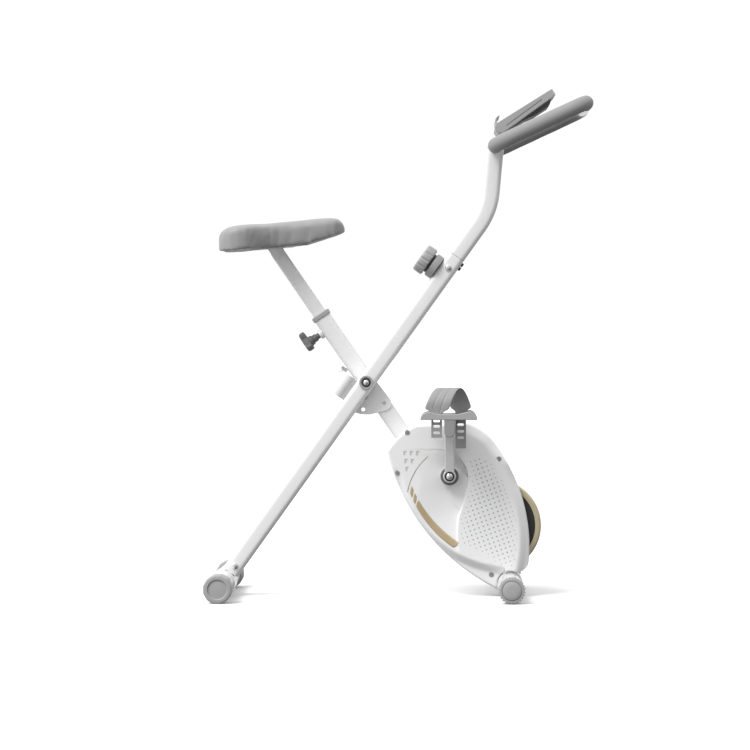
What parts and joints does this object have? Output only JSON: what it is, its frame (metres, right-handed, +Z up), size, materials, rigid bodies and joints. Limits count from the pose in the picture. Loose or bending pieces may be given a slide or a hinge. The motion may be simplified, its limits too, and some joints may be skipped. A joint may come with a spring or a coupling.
{
  "type": "folding exercise bike",
  "caption": "Folding upright exercise bike: crossed tube frame, raised saddle, closed handlebar loop with tray, leaf-shaped drive casing and strapped pedals.",
  "frame": {"origin": "centre of the bounding box, on the floor", "axes": "+X forward (towards the handlebar), +Y to the rider's left, +Z up"},
  "size_m": [0.8294, 0.43, 1.0978],
  "materials": {
    "frame_white": "gloss",
    "casing_white": "gloss",
    "grey_plastic": "satin",
    "dark_plastic": "satin",
    "vinyl": "satin",
    "foam": "matte",
    "strap": "satin",
    "zinc": "polished",
    "cast": "painted",
    "ring": "satin"
  },
  "bodies": {
    "front_frame": {"seat_tube": "frame_white", "seat_collar": "grey_plastic", "lower_frame": "frame_white", "crank_bearings": "zinc", "flywheel_axle": "zinc", "drive_belt": "strap", "casing_right": "casing_white", "casing_left": "casing_white", "casing_screws": "zinc", "front_bar": "frame_white", "front_bracket": "frame_white", "front_bolts": "zinc", "front_cap_right": "grey_plastic", "front_cap_left": "grey_plastic", "wheel_axles": "zinc"},
    "rear_frame": {"main_tube": "frame_white", "handlebar_post": "frame_white", "post_bolts": "zinc", "handlebar": "frame_white", "bar_sleeve": "casing_white", "grip_right": "foam", "grip_left": "foam", "tray_bracket": "frame_white", "device_tray": "grey_plastic", "console": "dark_plastic", "tension_base": "grey_plastic", "cable_grommet": "dark_plastic", "rear_bar": "frame_white", "rear_bracket": "frame_white", "rear_bolt": "zinc", "rear_cap_right": "grey_plastic", "rear_cap_left": "grey_plastic", "lock_plate": "frame_white", "stop_tube": "frame_white", "stop_bolt": "zinc", "pivot_bolt": "zinc", "pivot_washers": "grey_plastic"},
    "seat": {"seat_post": "frame_white", "seat_bracket": "zinc", "saddle_base": "dark_plastic", "saddle": "vinyl"},
    "crankset": {"crank_axle": "zinc", "crank_pulley": "dark_plastic", "crank_right": "zinc", "crank_left": "zinc", "spindle_right": "zinc", "spindle_left": "zinc"},
    "pedal_right": {"pedal_right": "grey_plastic", "strap_right": "strap"},
    "pedal_left": {"pedal_left": "grey_plastic", "strap_left": "strap"},
    "flywheel": {"flywheel": "cast", "flywheel_ring": "ring"},
    "magnet_arm": {"magnet_arm": "zinc"},
    "wheel_right": {"wheel_right": "grey_plastic"},
    "wheel_left": {"wheel_left": "grey_plastic"},
    "seat_pin": {"seat_knob": "dark_plastic"},
    "fold_pin": {"fold_pin": "zinc"},
    "tension_knob": {"tension_knob": "grey_plastic"},
    "mode_button": {"mode_button": "grey_plastic"}
  },
  "joints": [
    {"name": "frame_fold", "type": "hinge", "parent": "front_frame", "child": "rear_frame", "pos_m": [-0.07288, 0, 0.46544], "axis": [0, -1, 0], "range_deg": [0, 30]},
    {"name": "seat_height", "type": "slide", "parent": "front_frame", "child": "seat", "axis": [-0.5678, 0, 0.8231], "range_m": [-0.05, 0.05]},
    {"name": "crank_spin", "type": "hinge", "parent": "front_frame", "child": "crankset", "pos_m": [0.10812, 0, 0.26344], "axis": [0, 1, 0], "continuous": true},
    {"name": "flywheel_spin", "type": "hinge", "parent": "front_frame", "child": "flywheel", "pos_m": [0.20812, 0, 0.15394], "axis": [0, 1, 0], "continuous": true},
    {"name": "pedal_right_spin", "type": "hinge", "parent": "crankset", "child": "pedal_right", "pos_m": [0.10812, -0.135, 0.38144], "axis": [0, 1, 0], "continuous": true},
    {"name": "pedal_left_spin", "type": "hinge", "parent": "crankset", "child": "pedal_left", "pos_m": [0.10812, 0.135, 0.14544], "axis": [0, 1, 0], "continuous": true},
    {"name": "seat_pin_pull", "type": "slide", "parent": "front_frame", "child": "seat_pin", "axis": [-0.8231, 0, -0.5678], "range_m": [0, 0.012], "stiffness_N_per_m": 300},
    {"name": "fold_pin_pull", "type": "slide", "parent": "front_frame", "child": "fold_pin", "axis": [0, 1, 0], "range_m": [0, 0.012], "stiffness_N_per_m": 300},
    {"name": "tension_turn", "type": "hinge", "parent": "rear_frame", "child": "tension_knob", "pos_m": [0.064, -0.0185, 0.72533], "axis": [-0.8131, 0, 0.5821], "range_deg": [0, 270]},
    {"name": "magnet_swing", "type": "hinge", "parent": "front_frame", "child": "magnet_arm", "pos_m": [0.21812, 0, 0.27494], "axis": [0, 1, 0], "range_deg": [-4.5, 0]},
    {"name": "wheel_right_roll", "type": "hinge", "parent": "front_frame", "child": "wheel_right", "pos_m": [0.24012, -0.205, 0.0287], "axis": [0, 1, 0], "continuous": true},
    {"name": "wheel_left_roll", "type": "hinge", "parent": "front_frame", "child": "wheel_left", "pos_m": [0.24012, 0.205, 0.0287], "axis": [0, 1, 0], "continuous": true},
    {"name": "mode_press", "type": "slide", "parent": "rear_frame", "child": "mode_button", "axis": [0.5299, 0, -0.848], "range_m": [0, 0.0012], "stiffness_N_per_m": 400}
  ],
  "couplings": [
    {"joint": "flywheel_spin", "follows": "crank_spin", "ratio": 5},
    {"joint": "magnet_swing", "follows": "tension_turn", "ratio": -0.016667}
  ]
}
